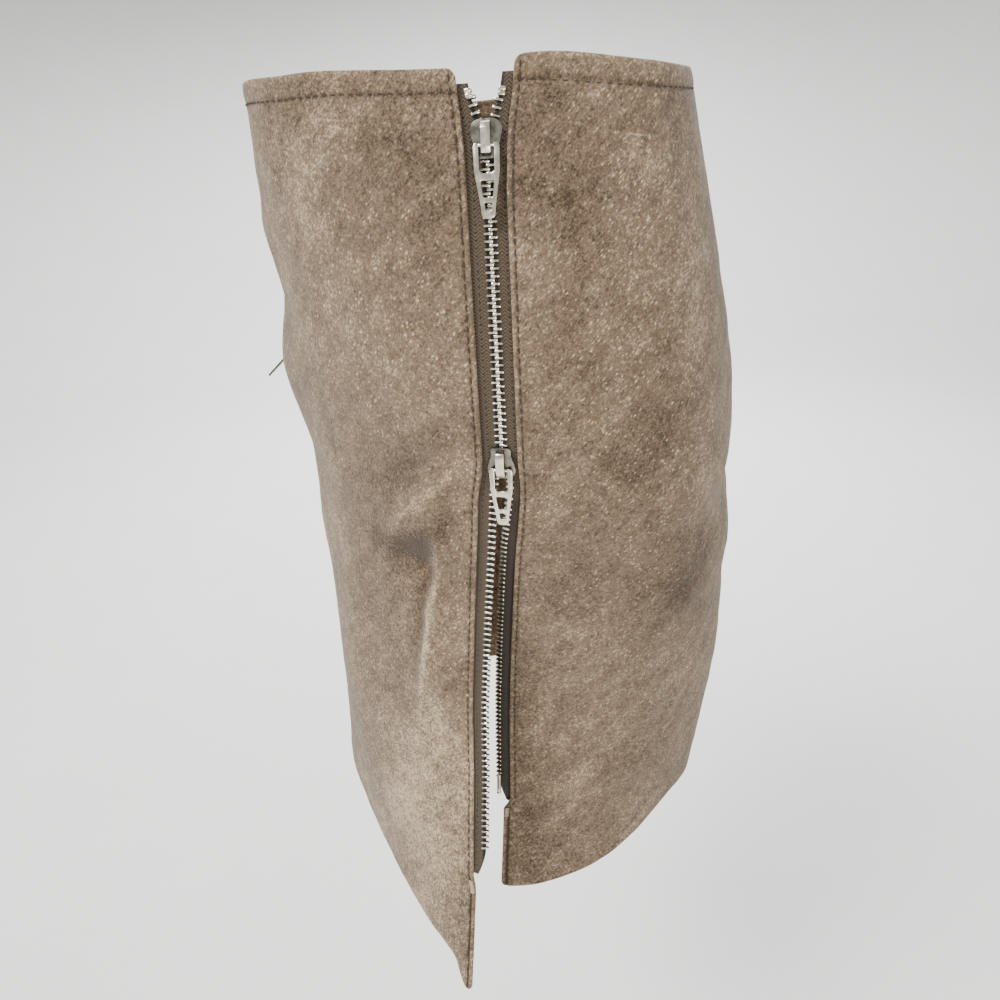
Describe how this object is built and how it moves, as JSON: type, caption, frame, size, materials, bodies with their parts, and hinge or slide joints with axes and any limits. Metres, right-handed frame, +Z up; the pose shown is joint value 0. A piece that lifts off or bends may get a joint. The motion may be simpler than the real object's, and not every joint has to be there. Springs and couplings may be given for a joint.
{
  "type": "suede mini skirt",
  "caption": "Suede mini skirt in its worn, hollow form, with full-length two-way metal zips at the side fronts that stand parted toward the hem, and hinged zip pulls.",
  "frame": {"origin": "middle of the waist opening, at the height of the nominal waist edge", "axes": "+Z up, -Y the wearer's front, +X the wearer's left"},
  "size_m": [0.3031, 0.2448, 0.4365],
  "materials": {
    "suede": "brushed nap, matt",
    "zip_tape": "woven herringbone",
    "satin_metal": "satin"
  },
  "bodies": {
    "skirt": {"front_panel": "suede", "left_side_panel": "suede", "back_panel": "suede", "right_side_panel": "suede", "tape_front_left": "zip_tape", "tape_side_left": "zip_tape", "tape_front_right": "zip_tape", "tape_side_right": "zip_tape", "slider_left_top": "satin_metal", "slider_left_low": "satin_metal", "slider_right_top": "satin_metal", "slider_right_low": "satin_metal", "stop_front_left": "satin_metal", "stop_side_left": "satin_metal", "stop_front_right": "satin_metal", "stop_side_right": "satin_metal", "pin_side_left": "satin_metal", "pin_side_right": "satin_metal"},
    "pull_left_top": {"tab_left_top": "satin_metal"},
    "pull_left_low": {"tab_left_low": "satin_metal"},
    "pull_right_top": {"tab_right_top": "satin_metal"},
    "pull_right_low": {"tab_right_low": "satin_metal"}
  },
  "joints": [
    {"name": "pull_left_top_hinge", "type": "hinge", "parent": "skirt", "child": "pull_left_top", "pos_m": [0.10061, -0.05792, -0.03029], "axis": [-0.6673, -0.7448, -0.0055], "range_deg": [0, 170]},
    {"name": "pull_left_low_hinge", "type": "hinge", "parent": "skirt", "child": "pull_left_low", "pos_m": [0.11015, -0.06692, -0.16154], "axis": [-0.753, -0.6578, 0.0172], "range_deg": [-2.5, 165]},
    {"name": "pull_right_top_hinge", "type": "hinge", "parent": "skirt", "child": "pull_right_top", "pos_m": [-0.09952, -0.05793, -0.03032], "axis": [-0.6708, 0.7414, -0.0201], "range_deg": [0, 170]},
    {"name": "pull_right_low_hinge", "type": "hinge", "parent": "skirt", "child": "pull_right_low", "pos_m": [-0.10982, -0.07126, -0.14075], "axis": [-0.7457, 0.665, 0.0415], "range_deg": [-45, 120]}
  ]
}
